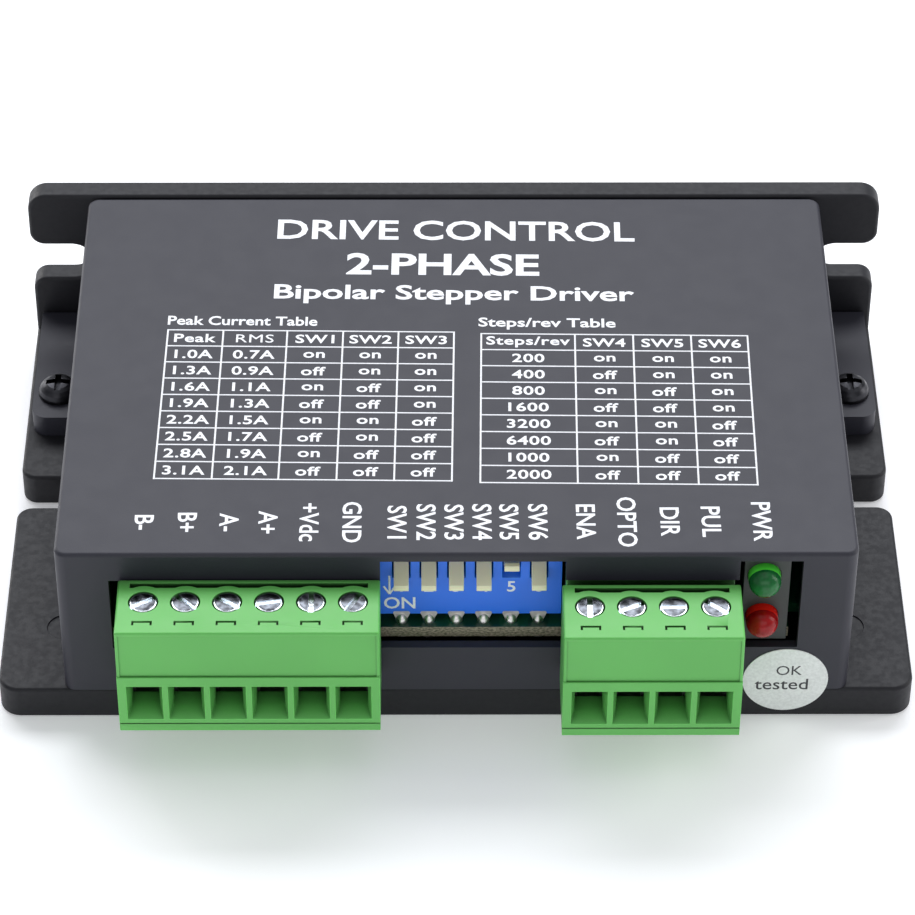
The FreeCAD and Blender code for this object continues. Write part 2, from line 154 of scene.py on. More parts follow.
def noiseAt(tree, size, detail=3.0, stretch=(1.0, 1.0, 1.0)):
    place = tree.nodes.new("ShaderNodeTexCoord")
    mapping = tree.nodes.new("ShaderNodeMapping")
    mapping.inputs["Scale"].default_value = [k / (size * mm) for k in stretch]   # one bump is about size mm
    noise = tree.nodes.new("ShaderNodeTexNoise")
    noise.inputs["Scale"].default_value = 1.0
    noise.inputs["Detail"].default_value = detail
    tree.links.new(place.outputs["Object"], mapping.inputs["Vector"])
    tree.links.new(mapping.outputs["Vector"], noise.inputs["Vector"])
    return noise.outputs["Fac"]


def ranged(tree, value, low, high, fromLow=0.35, fromHigh=0.65):
    node = tree.nodes.new("ShaderNodeMapRange")
    node.inputs["From Min"].default_value = fromLow
    node.inputs["From Max"].default_value = fromHigh
    node.inputs["To Min"].default_value = low
    node.inputs["To Max"].default_value = high
    tree.links.new(value, node.inputs["Value"])
    return node.outputs["Result"]


def mixed(tree, factor, first, second):
    mix = tree.nodes.new("ShaderNodeMix")
    mix.data_type = "RGBA"
    sockets = [socket for socket in mix.inputs if socket.type == "RGBA"]
    for socket, colour in zip(sockets, (first, second)):
        if isinstance(colour, tuple):
            socket.default_value = (*colour, 1.0)
        else:
            tree.links.new(colour, socket)
    tree.links.new(factor, mix.inputs[0])
    return [socket for socket in mix.outputs if socket.type == "RGBA"][0]


def addBump(tree, shader, height, depth):
    bump = tree.nodes.new("ShaderNodeBump")
    bump.inputs["Distance"].default_value = depth * mm
    bump.inputs["Strength"].default_value = 1.0
    tree.links.new(height, bump.inputs["Height"])
    before = shader.inputs["Normal"].links
    if before:
        tree.links.new(before[0].from_socket, bump.inputs["Normal"])
    tree.links.new(bump.outputs["Normal"], shader.inputs["Normal"])


def edgeMask(tree):
    mask = tree.nodes.new("ShaderNodeAttribute")       # 1 on the rounded edges of a softened piece, where painted highlights go
    mask.attribute_name = "edgeMask"
    return mask.outputs["Fac"]


# painted shade: the colour is darkened by ambient occlusion in crevices and recesses, down to darkest
def crevices(tree, colour, reach, darkest):
    hollow = tree.nodes.new("ShaderNodeAmbientOcclusion")
    hollow.samples = 8
    hollow.inputs["Distance"].default_value = reach * mm
    deep = ranged(tree, hollow.outputs["AO"], darkest, 1, 0.25, 0.85)
    shade = tree.nodes.new("ShaderNodeVectorMath")
    shade.operation = "SCALE"
    tree.links.new(colour, shade.inputs[0])
    tree.links.new(deep, shade.inputs["Scale"])
    return shade.outputs["Vector"]


def shaded(colour, factor):
    return tuple(min(1.0, channel * factor) for channel in colour)


def mouldedPlastic(name, colour, roughness, grain=0.15, grainDepth=0.004, edgeHighlight=1.25, spread=0.04,
                   coat=0.0, softness=0.0, gloss=0.5, mottle=0.03, darkest=1.0):
    material, tree, shader = startMaterial(name, colour, roughness)
    shader.inputs["Specular IOR Level"].default_value = gloss
    broad = noiseAt(tree, 9.0, 2.0)
    fine = noiseAt(tree, grain, 2.0)
    cloudy = mixed(tree, ranged(tree, broad, 0, 1), shaded(colour, 1 - spread), shaded(colour, 1 + spread))
    # painted highlight: rounded edges are coloured lighter by edgeHighlight, as if they caught the light
    paintedLightTone = mixed(tree, ranged(tree, edgeMask(tree), 0, 1, 0, 1), cloudy, shaded(colour, edgeHighlight))
    # painted shade in the recesses, deeper for a lower darkest
    if darkest < 1:
        paintedLightTone = crevices(tree, paintedLightTone, 2.5, darkest)
    tree.links.new(paintedLightTone, shader.inputs["Base Color"])
    uneven = ranged(tree, noiseAt(tree, 2.2), roughness - mottle, roughness + mottle)
    tree.links.new(uneven, shader.inputs["Roughness"])
    addBump(tree, shader, fine, grainDepth)
    shader.inputs["Coat Weight"].default_value = coat
    shader.inputs["Coat Roughness"].default_value = 0.25
    if softness:
        shader.inputs["Subsurface Weight"].default_value = softness
        shader.inputs["Subsurface Radius"].default_value = (0.4, 1.0, 0.3)
        shader.inputs["Subsurface Scale"].default_value = 0.6 * mm
    return material


def castPaint(name, colour, roughness, gloss):
    material, tree, shader = startMaterial(name, colour, roughness)
    shader.inputs["Specular IOR Level"].default_value = gloss
    flow = noiseAt(tree, 6.0, 3.0)
    peel = noiseAt(tree, 0.55, 2.0)
    sand = noiseAt(tree, 0.12, 2.0)
    cloudy = mixed(tree, ranged(tree, flow, 0, 1), shaded(colour, 0.88), shaded(colour, 1.12))
    # painted highlight: rounded edges are coloured 1.8 times lighter, as if they caught the light
    paintedLightTone = mixed(tree, ranged(tree, edgeMask(tree), 0, 1, 0, 1), cloudy, shaded(colour, 1.8))
    tree.links.new(paintedLightTone, shader.inputs["Base Color"])
    tree.links.new(ranged(tree, peel, roughness - 0.04, roughness + 0.05), shader.inputs["Roughness"])
    addBump(tree, shader, peel, 0.010)
    addBump(tree, shader, sand, 0.003)
    return material


def platedMetal(name, colour, roughness, scratchDepth=0.002):
    material, tree, shader = startMaterial(name, colour, roughness, 1.0)
    dull = noiseAt(tree, 0.5, 3.0)
    tint = mixed(tree, ranged(tree, dull, 0, 1), shaded(colour, 0.86), shaded(colour, 1.06))
    tree.links.new(tint, shader.inputs["Base Color"])
    tree.links.new(ranged(tree, dull, roughness - 0.05, roughness + 0.12), shader.inputs["Roughness"])
    addBump(tree, shader, noiseAt(tree, 0.08, 2.0, (1.0, 0.12, 1.0)), scratchDepth)
    return material


def turnedZinc(name, bright, dark, roughness, ringPitch):
    material, tree, shader = startMaterial(name, bright, roughness, 1.0)
    stain = noiseAt(tree, 0.6, 2.0)
    # painted reflection: the flat top faces are coloured dark, as if mirroring dark surroundings, and this
    # dark tone varies with a noise; the other faces keep the bright zinc
    flat = mixed(tree, ranged(tree, stain, 0, 1), shaded(dark, 0.35), shaded(dark, 2.0))
    paintedLightTone = mixed(tree, ranged(tree, edgeMask(tree), 0, 1, 0, 1), flat, bright)
    tree.links.new(paintedLightTone, shader.inputs["Base Color"])
    tree.links.new(ranged(tree, stain, roughness - 0.04, roughness + 0.08), shader.inputs["Roughness"])
    place = tree.nodes.new("ShaderNodeAttribute")          # place across the turning axis, in mm
    place.attribute_name = "axisPlace"
    radius = tree.nodes.new("ShaderNodeVectorMath")
    radius.operation = "LENGTH"
    step = tree.nodes.new("ShaderNodeMath")
    step.operation = "MULTIPLY"
    step.inputs[1].default_value = 2 * math.pi / ringPitch
    wave = tree.nodes.new("ShaderNodeMath")
    wave.operation = "SINE"
    tree.links.new(place.outputs["Vector"], radius.inputs[0])
    tree.links.new(radius.outputs["Value"], step.inputs[0])
    tree.links.new(step.outputs["Value"], wave.inputs[0])
    addBump(tree, shader, wave.outputs["Value"], 0.002)
    return material


def inkFilm(name, colour, roughness=0.45):
    material, tree, shader = startMaterial(name, colour, roughness)
    speckle = noiseAt(tree, 0.12, 3.0)
    tone = mixed(tree, ranged(tree, speckle, 0, 1), shaded(colour, 0.9), shaded(colour, 1.05))
    tree.links.new(tone, shader.inputs["Base Color"])
    addBump(tree, shader, speckle, 0.002)
    return material


def boardEdge():
    material, tree, shader = startMaterial("boardEdge", (0.2, 0.17, 0.1), 0.7)
    fibres = noiseAt(tree, 0.20, 5.0, (0.7, 1.0, 1.4))
    woven = ranged(tree, fibres, 0, 1, 0.38, 0.62)
    tone = mixed(tree, woven, (0.12, 0.115, 0.075), (0.42, 0.37, 0.27))
    tree.links.new(tone, shader.inputs["Base Color"])
    addBump(tree, shader, fibres, 0.012)
    return material


def boardMask():
    colour = (0.006, 0.050, 0.022)
    material, tree, shader = startMaterial("boardMask", colour, 0.3)
    tracks = noiseAt(tree, 1.4, 0.0, (1.0, 0.35, 1.0))
    tone = mixed(tree, ranged(tree, tracks, 0, 1, 0.48, 0.52), colour, (0.010, 0.080, 0.032))
    tree.links.new(tone, shader.inputs["Base Color"])
    addBump(tree, shader, ranged(tree, tracks, 0, 1, 0.48, 0.52), 0.02)
    shader.inputs["Coat Weight"].default_value = 0.3
    shader.inputs["Coat Roughness"].default_value = 0.15
    return material


def lensPlastic(name, domeColour, barrelColour):
    material, tree, shader = startMaterial(name, domeColour, 0.22)
    swirl = noiseAt(tree, 1.2, 2.0)
    dome = mixed(tree, ranged(tree, swirl, 0, 1), shaded(domeColour, 0.8), shaded(domeColour, 1.25))
    barrel = ranged(tree, edgeMask(tree), 0, 1, 0, 1)          # painted light: the barrel is coloured brighter than the dome, as light pooling in it
    tone = mixed(tree, barrel, dome, barrelColour)
    tree.links.new(tone, shader.inputs["Base Color"])
    tree.links.new(ranged(tree, swirl, 0.18, 0.26), shader.inputs["Roughness"])
    shader.inputs["IOR"].default_value = 1.53
    shader.inputs["Subsurface Weight"].default_value = 0.3
    shader.inputs["Subsurface Radius"].default_value = (1.0, 1.0, 1.0)
    shader.inputs["Subsurface Scale"].default_value = 0.6 * mm
    shader.inputs["Specular IOR Level"].default_value = 0.3
    return material


def sealFilm():
    colour = (0.76, 0.78, 0.76)
    material, tree, shader = startMaterial("sealFilm", colour, 0.45)
    foil = noiseAt(tree, 0.25, 4.0)
    tone = mixed(tree, ranged(tree, foil, 0, 1), shaded(colour, 0.93), shaded(colour, 1.07))
    tree.links.new(tone, shader.inputs["Base Color"])
    addBump(tree, shader, noiseAt(tree, 2.5, 2.0), 0.03)
    shader.inputs["Coat Weight"].default_value = 0.3
    return material


finish = {
    "cast_metal": castPaint("castPaint", (0.0105, 0.0105, 0.0135), 0.52, 0.30),
    "cover_plastic": mouldedPlastic("coverSatin", (0.026, 0.026, 0.036), 0.52, 0.13, 0.007, 1.3, 0.02,
                                    gloss=0.37, mottle=0.015),
    "dark_screw": platedMetal("blackOxide", (0.045, 0.045, 0.05), 0.34),
    "board": boardMask(),
    "steel": platedMetal("plainSteel", (0.62, 0.62, 0.62), 0.3),
    "chip": mouldedPlastic("chipEpoxy", (0.025, 0.025, 0.026), 0.6, 0.08, 0.006),
    "gap_pad": mouldedPlastic("gapPad", (0.32, 0.38, 0.42), 0.8, 0.3, 0.02),
    "tinned": platedMetal("tinPlate", (0.72, 0.69, 0.67), 0.42, 0.0005),
    "can": platedMetal("drawnCan", (0.80, 0.80, 0.80), 0.35),
    "ferrite": mouldedPlastic("ferrite", (0.05, 0.05, 0.052), 0.65, 0.2, 0.02),
    "chip_part": mouldedPlastic("chipPart", (0.32, 0.24, 0.15), 0.5, 0.1, 0.004),
    # the terminal green has painted shade in its funnels and pockets, down to darkest=0.10
    "terminal_green": mouldedPlastic("terminalGreen", (0.130, 0.475, 0.105), 0.44, 0.10, 0.004, 1.3, 0.03,
                                     0.05, 0.15, gloss=0.35, darkest=0.10),
    "contact_brass": platedMetal("tinnedBrass", (0.72, 0.68, 0.56), 0.3),
    "zinc": turnedZinc("brightZinc", (0.78, 0.82, 0.86), (0.060, 0.064, 0.072), 0.16, 0.17),
    "cage_steel": platedMetal("cageSteel", (0.20, 0.20, 0.20), 0.4),
    "switch_blue": mouldedPlastic("switchBlue", (0.016, 0.185, 0.95), 0.36, 0.12, 0.003, 1.3, 0.03, 0.15),
    "lever_cream": mouldedPlastic("leverCream", (1.0, 0.92, 0.62), 0.42, 0.12, 0.004, 1.1, 0.05, 0.1, 0.1),
    "holder": mouldedPlastic("holderGrey", (0.036, 0.040, 0.038), 0.5, 0.14, 0.006, 1.2),
    # painted light: each lens's barrel colour is much brighter than its dome colour
    "lens_red": lensPlastic("lensRed", (0.30, 0.002, 0.003), (1.0, 0.012, 0.004)),
    "lens_green": lensPlastic("lensGreen", (0.010, 0.13, 0.030), (0.10, 0.85, 0.06)),
    "seal": sealFilm(),
    "board_edge": boardEdge(),
    "white_ink": inkFilm("whiteInk", (0.86, 0.87, 0.90)),
    "pale_ink": inkFilm("paleInk", (0.92, 0.97, 1.0)),
    "dark_ink": inkFilm("darkInk", (0.03, 0.03, 0.035)),
    "solder": platedMetal("solder", (0.80, 0.77, 0.75), 0.32, 0.0004),
}

print("softened copies of the moulded and turned parts")


def addPiece(name, mesh, body, slot, look=None):
    piece = bpy.data.objects.new(name, mesh)
    bpy.context.scene.collection.objects.link(piece)
    mesh.materials.clear()
    mesh.materials.append(finish[look or slot])
    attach(piece, body)
    return piece


def evenNormals(piece):
    modifier = piece.modifiers.new("evenNormals", "WEIGHTED_NORMAL")
    modifier.keep_sharp = True
    modifier.weight = 80


def smoothByAngle(mesh, angle=38.0):
    mesh.polygons.foreach_set("use_smooth", [True] * len(mesh.polygons))
    mesh.set_sharp_from_angle(angle=math.radians(angle))


softening = {
    "weld": 0.002,              # mm
    "flatAngle": 0.8,           # degrees, faces closer to flat than this are joined
    "sharpAngle": 32.0,         # degrees, edges sharper than this are rounded
    "narrowFace": 2.5,          # a face under this many edge radii across is narrow
    "narrowWidth": 0.04,        # mm, the edge radius beside a narrow face
}


def tooNarrow(edge, width):
    least = softening["narrowFace"] * width * mm * edge.calc_length()
    return any(face.calc_area() < least for face in edge.link_faces)


def softenedMesh(node, width, segments):
    shape = bmesh.new()
    shape.from_mesh(cadNodes[node].data)
    for layer in list(shape.loops.layers.uv.values()):
        shape.loops.layers.uv.remove(layer)
    bmesh.ops.remove_doubles(shape, verts=shape.verts, dist=softening["weld"] * mm)
    bmesh.ops.dissolve_limit(shape, angle_limit=math.radians(softening["flatAngle"]), verts=shape.verts,
                             edges=shape.edges)
    mask = shape.faces.layers.float.new("edgeMask")
    sharp = [edge for edge in shape.edges
             if len(edge.link_faces) == 2 and edge.calc_face_angle() > math.radians(softening["sharpAngle"])]
    fine = [edge for edge in sharp if tooNarrow(edge, width)]
    broad = [edge for edge in sharp if not tooNarrow(edge, width)]
    for edges, offset in ((broad, width), (fine, min(width, softening["narrowWidth"]))):
        edges = [edge for edge in edges if edge.is_valid]
        made = bmesh.ops.bevel(shape, geom=edges, offset=offset * mm, offset_type="OFFSET", segments=segments,
                               profile=0.5, affect="EDGES", clamp_overlap=True)
        for face in made["faces"]:
            face[mask] = 1.0
    mesh = bpy.data.meshes.new(node)
    shape.to_mesh(mesh)
    shape.free()
    smoothByAngle(mesh)
    return mesh


def softened(node, name, width, segments=3):
    mesh = softenedMesh(node, width, segments)
    piece = addPiece(name, mesh, bodyOf[node], slotOf[node])
    evenNormals(piece)
    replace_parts(piece, node)


softEdges = {
    # CAD node: (piece, edge radius in mm)
    "heat_sink_bracket": ("heatSink", 0.25),
    "cover": ("coverShell", 0.20),
    "plug_body_6way": ("longPlug", 0.14),
    "plug_body_4way": ("shortPlug", 0.14),
    "header_6way": ("longHeader", 0.12),
    "header_4way": ("shortHeader", 0.12),
    "dip_switch_body": ("switchBody", 0.10),
    "led_holder": ("lampHolder", 0.12),
    "circuit_board": ("circuitBoard", 0.04),
    "seal_sticker": ("sealSticker", 0.03),
}
for node, (name, width) in softEdges.items():
    softened(node, name, width)
board = bpy.data.objects["circuitBoard"].data
board.materials.append(finish["board_edge"])
bareEdgeLimit = -25.7 * mm                 # just behind the board's front edge, the only bare one
for face in board.polygons:
    bare = abs(face.normal.z) < 0.7 and face.center.y < bareEdgeLimit
    face.material_index = 1 if bare else 0
for number in range(1, 7):
    softened("dip_lever_%d" % number, "switchLever%d" % number, 0.10)
for number in range(1, 11):
    softened("clamp_cage_%d" % number, "clampCage%d" % number, 0.06, 2)

print("node trees")


def startTree(name, sizes):
    tree = bpy.data.node_groups.new(name, "GeometryNodeTree")
    tree.interface.new_socket("Geometry", in_out="INPUT", socket_type="NodeSocketGeometry")
    kinds = {int: "NodeSocketInt", float: "NodeSocketFloat", tuple: "NodeSocketVector"}
    for label, value in sizes.items():
        tree.interface.new_socket(label, in_out="INPUT", socket_type=kinds[type(value)]).default_value = value
    tree.interface.new_socket("Material", in_out="INPUT", socket_type="NodeSocketMaterial")
    tree.interface.new_socket("Geometry", in_out="OUTPUT", socket_type="NodeSocketGeometry")
    return tree, tree.nodes.new("NodeGroupInput").outputs


def addNode(tree, kind, inputs, **settings):
    node = tree.nodes.new(kind)
    for key, value in settings.items():
        setattr(node, key, value)
    for key, value in inputs.items():
        if isinstance(value, bpy.types.NodeSocket):
            tree.links.new(value, node.inputs[key])
        else:
            node.inputs[key].default_value = value
    return node.outputs


def joinAll(tree, parts):
    join = tree.nodes.new("GeometryNodeJoinGeometry")
    for part in parts:
        tree.links.new(part, join.inputs["Geometry"])
    return join.outputs["Geometry"]


def endTree(tree, geometry, material):
    real = addNode(tree, "GeometryNodeRealizeInstances", {"Geometry": geometry})
    faced = addNode(tree, "GeometryNodeSetMaterial", {"Geometry": real["Geometry"], "Material": material})
    tree.links.new(faced["Geometry"], tree.nodes.new("NodeGroupOutput").inputs["Geometry"])
    return tree


def grown(tree, mesh, sizes, look):
    carrier = bpy.data.objects.new(tree.name, mesh)
    bpy.context.scene.collection.objects.link(carrier)
    modifier = carrier.modifiers.new(tree.name, "NODES")
    modifier.node_group = tree
    for socket in tree.interface.items_tree:
        if socket.in_out == "INPUT" and socket.name in sizes:
            modifier[socket.identifier] = sizes[socket.name]
        elif socket.name == "Material":
            modifier[socket.identifier] = finish[look]
    graph = bpy.context.evaluated_depsgraph_get()
    result = bpy.data.meshes.new_from_object(carrier.evaluated_get(graph), depsgraph=graph)
    carrier.modifiers.remove(modifier)
    bpy.data.objects.remove(carrier)
    bpy.data.meshes.remove(mesh)
    return result


def lineMesh(points, links):
    mesh = bpy.data.meshes.new("line")
    mesh.from_pydata([[value * mm for value in point] for point in points], links, [])
    return mesh


def profileMesh(points):
    return lineMesh([(radius, -height, 0) for radius, height in points],      # the sweep turns -Y into Z
                    [(n, n + 1) for n in range(len(points) - 1)])


def turningTree():
    tree, sizes = startTree("turnedPart", {
        "Corner Radius": 0.1 * mm, "Segments": 40,
        "Bars": 1, "Bar Size": (3 * mm, 0.5 * mm, 1 * mm), "Bar Height": 1 * mm, "Flat Height": 1 * mm,
        "Turn": 0.0, "Count": 1, "Start": (0.0, 0.0, 0.0), "Step": (0.0, 0.0, 0.0)})
    line = addNode(tree, "GeometryNodeMeshToCurve", {"Mesh": sizes["Geometry"]})
    soft = addNode(tree, "GeometryNodeFilletCurve", {"Curve": line["Curve"], "Radius": sizes["Corner Radius"],
                                                     "Count": 3, "Limit Radius": True}, mode="POLY")
    # the profile is swept round a circle too small to show
    ring = addNode(tree, "GeometryNodeCurvePrimitiveCircle",
                   {"Radius": 0.0005 * mm, "Resolution": sizes["Segments"]})
    swept = addNode(tree, "GeometryNodeCurveToMesh", {"Curve": ring["Curve"], "Profile Curve": soft["Curve"]})
    welded = addNode(tree, "GeometryNodeMergeByDistance", {"Geometry": swept["Mesh"], "Distance": 0.003 * mm})
    bar = addNode(tree, "GeometryNodeMeshCube", {"Size": sizes["Bar Size"]})
    lift = addNode(tree, "ShaderNodeCombineXYZ", {"Z": sizes["Bar Height"]})
    raised = addNode(tree, "GeometryNodeTransform", {"Geometry": bar["Mesh"], "Translation": lift["Vector"]})
    spots = addNode(tree, "GeometryNodeMeshLine", {"Count": sizes["Bars"], "Offset": (0.0, 0.0, 0.0)})
    number = addNode(tree, "GeometryNodeInputIndex", {})
    quarter = addNode(tree, "ShaderNodeMath", {0: number["Index"], 1: math.pi / 2}, operation="MULTIPLY")
    crossed = addNode(tree, "ShaderNodeCombineXYZ", {"Z": quarter["Value"]})
    bars = addNode(tree, "GeometryNodeInstanceOnPoints",
                   {"Points": spots["Mesh"], "Instance": raised["Geometry"], "Rotation": crossed["Vector"]})
    cutter = addNode(tree, "GeometryNodeRealizeInstances", {"Geometry": bars["Instances"]})
    cut = addNode(tree, "GeometryNodeMeshBoolean",
                  {"Mesh 1": welded["Geometry"], "Mesh 2": cutter["Geometry"], "Self Intersection": True},
                  operation="DIFFERENCE", solver="EXACT")
    place = addNode(tree, "GeometryNodeInputPosition", {})
    across = addNode(tree, "ShaderNodeVectorMath", {0: place["Position"], 1: (1 / mm, 1 / mm, 0.0)},
                     operation="MULTIPLY")
    noted = addNode(tree, "GeometryNodeStoreNamedAttribute",
                    {"Geometry": cut["Mesh"], "Name": "axisPlace", "Value": across["Vector"]},
                    data_type="FLOAT_VECTOR", domain="POINT")
    # flat top faces get 0 in edgeMask; on zinc screws they take the painted dark reflection
    facing = addNode(tree, "GeometryNodeInputNormal", {})
    split = addNode(tree, "ShaderNodeSeparateXYZ", {"Vector": facing["Normal"]})
    where = addNode(tree, "ShaderNodeSeparateXYZ", {"Vector": place["Position"]})
    level = addNode(tree, "ShaderNodeMath", {0: split["Z"], 1: 0.98}, operation="GREATER_THAN")
    high = addNode(tree, "ShaderNodeMath", {0: where["Z"], 1: sizes["Flat Height"]}, operation="GREATER_THAN")
    flat = addNode(tree, "ShaderNodeMath", {0: level["Value"], 1: high["Value"]}, operation="MULTIPLY")
    rest = addNode(tree, "ShaderNodeMath", {0: 1.0, 1: flat["Value"]}, operation="SUBTRACT")
    masked = addNode(tree, "GeometryNodeStoreNamedAttribute",
                     {"Geometry": noted["Geometry"], "Name": "edgeMask", "Value": rest["Value"]},
                     data_type="FLOAT", domain="FACE")
    seats = addNode(tree, "GeometryNodeMeshLine", {"Count": sizes["Count"], "Start Location": sizes["Start"],
                                                   "Offset": sizes["Step"]})
    turned = addNode(tree, "ShaderNodeCombineXYZ", {"Z": sizes["Turn"]})
    placed = addNode(tree, "GeometryNodeInstanceOnPoints",
                     {"Points": seats["Mesh"], "Instance": masked["Geometry"], "Rotation": turned["Vector"]})
    return endTree(tree, placed["Instances"], sizes["Material"])


def pinTree():
    tree, sizes = startTree("shoulderedPins", {
        "Top Width": 1.5 * mm, "Foot Width": 0.8 * mm, "Tab Height": 0.85 * mm, "Thickness": 0.3 * mm,
        "Corner Radius": 0.2 * mm, "Pin Width": 0.5 * mm, "Pin Length": 2.0 * mm})
    outline = addNode(tree, "GeometryNodeCurvePrimitiveQuadrilateral",
                      {"Height": sizes["Tab Height"], "Bottom Width": sizes["Foot Width"],
                       "Top Width": sizes["Top Width"], "Offset": 0.0}, mode="TRAPEZOID")
    soft = addNode(tree, "GeometryNodeFilletCurve",
                   {"Curve": outline["Curve"], "Radius": sizes["Corner Radius"], "Count": 4,
                    "Limit Radius": True}, mode="POLY")
    reach = addNode(tree, "ShaderNodeCombineXYZ", {"Z": sizes["Thickness"]})
    path = addNode(tree, "GeometryNodeCurvePrimitiveLine", {"End": reach["Vector"]})
    tab = addNode(tree, "GeometryNodeCurveToMesh", {"Curve": path["Curve"], "Profile Curve": soft["Curve"],
                                                    "Fill Caps": True})
    upright = addNode(tree, "GeometryNodeTransform",
                      {"Geometry": tab["Mesh"], "Rotation": (math.pi / 2, 0.0, 0.0)})
    size = addNode(tree, "ShaderNodeCombineXYZ", {"X": sizes["Pin Width"], "Y": sizes["Thickness"],
                                                  "Z": sizes["Pin Length"]})
    stem = addNode(tree, "GeometryNodeMeshCube", {"Size": size["Vector"]})
    drop = addNode(tree, "ShaderNodeMath", {0: sizes["Pin Length"], 1: -0.5}, operation="MULTIPLY")
    back = addNode(tree, "ShaderNodeMath", {0: sizes["Thickness"], 1: -0.5}, operation="MULTIPLY")
    below = addNode(tree, "ShaderNodeCombineXYZ", {"Y": back["Value"], "Z": drop["Value"]})
    lowered = addNode(tree, "GeometryNodeTransform",
                      {"Geometry": stem["Mesh"], "Translation": below["Vector"]})
    pin = joinAll(tree, [upright["Geometry"], lowered["Geometry"]])
    placed = addNode(tree, "GeometryNodeInstanceOnPoints", {"Points": sizes["Geometry"], "Instance": pin})
    return endTree(tree, placed["Instances"], sizes["Material"])


def solderTree():
    tree, sizes = startTree("solderJoints", {"Radius": 0.6 * mm, "Rise": 0.4 * mm, "Uneven": 0.12, "Seed": 7})
    drop = addNode(tree, "GeometryNodeMeshUVSphere", {"Segments": 18, "Rings": 9, "Radius": 1.0})
    low = addNode(tree, "ShaderNodeMath", {0: 1.0, 1: sizes["Uneven"]}, operation="SUBTRACT")
    high = addNode(tree, "ShaderNodeMath", {0: 1.0, 1: sizes["Uneven"]}, operation="ADD")
    odd = addNode(tree, "FunctionNodeRandomValue", {"Seed": sizes["Seed"]}, data_type="FLOAT")
    odds = tree.nodes[-1]
    for name, value in (("Min", low["Value"]), ("Max", high["Value"])):
        socket = [entry for entry in odds.inputs if entry.name == name and entry.type == "VALUE"][0]
        tree.links.new(value, socket)
    spread = [entry for entry in odd if entry.type == "VALUE"][0]
    size = addNode(tree, "ShaderNodeCombineXYZ",
                   {"X": sizes["Radius"], "Y": sizes["Radius"], "Z": sizes["Rise"]})
    varied = addNode(tree, "ShaderNodeVectorMath", {0: size["Vector"], 3: spread}, operation="SCALE")
    placed = addNode(tree, "GeometryNodeInstanceOnPoints",
                     {"Points": sizes["Geometry"], "Instance": drop["Mesh"], "Scale": varied["Vector"]})
    return endTree(tree, placed["Instances"], sizes["Material"])


def ruleTree():
    tree, sizes = startTree("ruledLines", {"Line Width": 0.16 * mm, "Ink Depth": 0.012 * mm})
    line = addNode(tree, "GeometryNodeMeshToCurve", {"Mesh": sizes["Geometry"]})
    section = addNode(tree, "GeometryNodeCurvePrimitiveQuadrilateral",
                      {"Width": sizes["Line Width"], "Height": sizes["Ink Depth"]}, mode="RECTANGLE")
    swept = addNode(tree, "GeometryNodeCurveToMesh",
                    {"Curve": line["Curve"], "Profile Curve": section["Curve"], "Fill Caps": True})
    return endTree(tree, swept["Mesh"], sizes["Material"])


trees = {"turned": turningTree(), "pins": pinTree(), "solder": solderTree(), "rules": ruleTree()}

print("screws")

screwShapes = {
    # profile as radius and height above the seat, mm
    "clamp": {
        "profile": [(0, 1.15), (1.25, 1.15), (1.25, 0), (0.95, 0), (0.95, -4.1), (0.8, -4.25), (0, -4.25)],
        "corner": 0.13, "bars": 1, "bar": (3.2, 0.5, 1.2),
        "turns": [30, -45, -35, 10, 90, 60, 90, 25, 0, -40]},          # degrees, of each slot
    "crossed": {
        "profile": [(0, 1.6), (0.6, 1.57), (1.1, 1.45), (1.5, 1.22), (1.8, 0.85), (1.96, 0.4), (2.0, 0),
                    (1.2, 0), (1.2, -5.0), (1.0, -5.2), (0, -5.2)],
        "corner": 0.06, "bars": 2, "bar": (2.4, 0.62, 1.9)},
}


def grownScrew(shape, seat, look, turn=0.0, count=1, step=(0, 0, 0)):
    top = shape["profile"][0][1]
    mesh = grown(trees["turned"], profileMesh(shape["profile"]), {
        "Corner Radius": shape["corner"] * mm, "Segments": 48, "Bars": shape["bars"],
        "Bar Size": [value * mm for value in shape["bar"]], "Bar Height": top * mm,
        "Flat Height": (top - 0.05) * mm, "Turn": math.radians(turn), "Count": count, "Start": list(seat),
        "Step": list(step)}, look)
    smoothByAngle(mesh, 30)
    return mesh


def terminalScrew(number):
    node = "terminal_screw_%d" % number
    low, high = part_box(node)
    shape = screwShapes["clamp"]
    seat = Vector(((low.x + high.x) / 2, (low.y + high.y) / 2, high.z - shape["profile"][0][1] * mm))
    mesh = grownScrew(shape, seat, "zinc", shape["turns"][number - 1])
    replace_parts(addPiece("terminalScrew%d" % number, mesh, bodyOf[node], "zinc"), node)


def coverScrewPair():
    low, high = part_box("cover_screws")
    shape = screwShapes["crossed"]
    head = shape["profile"][6][0] * mm
    seat = Vector((low.x + head, (low.y + high.y) / 2, high.z - shape["profile"][0][1] * mm))
    step = Vector((high.x - low.x - 2 * head, 0, 0))
    mesh = grownScrew(shape, seat, "dark_screw", 0.0, 2, step)
    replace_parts(addPiece("coverScrews", mesh, "housing", "dark_screw"), "cover_screws")


for number in range(1, 11):
    terminalScrew(number)
coverScrewPair()

print("lamps")

lamps = {
    # profile as radius and distance towards the front from the barrel's back end, mm
    "profile": [(0, 0), (1.5, 0), (1.5, 4.5), (1.47, 4.79), (1.385, 5.07), (1.245, 5.33), (1.06, 5.56),
                (0.83, 5.745), (0.57, 5.88), (0.29, 5.965), (0, 5.99)],
    "shoulder": 4.5,
    "corner": 0.12,
}


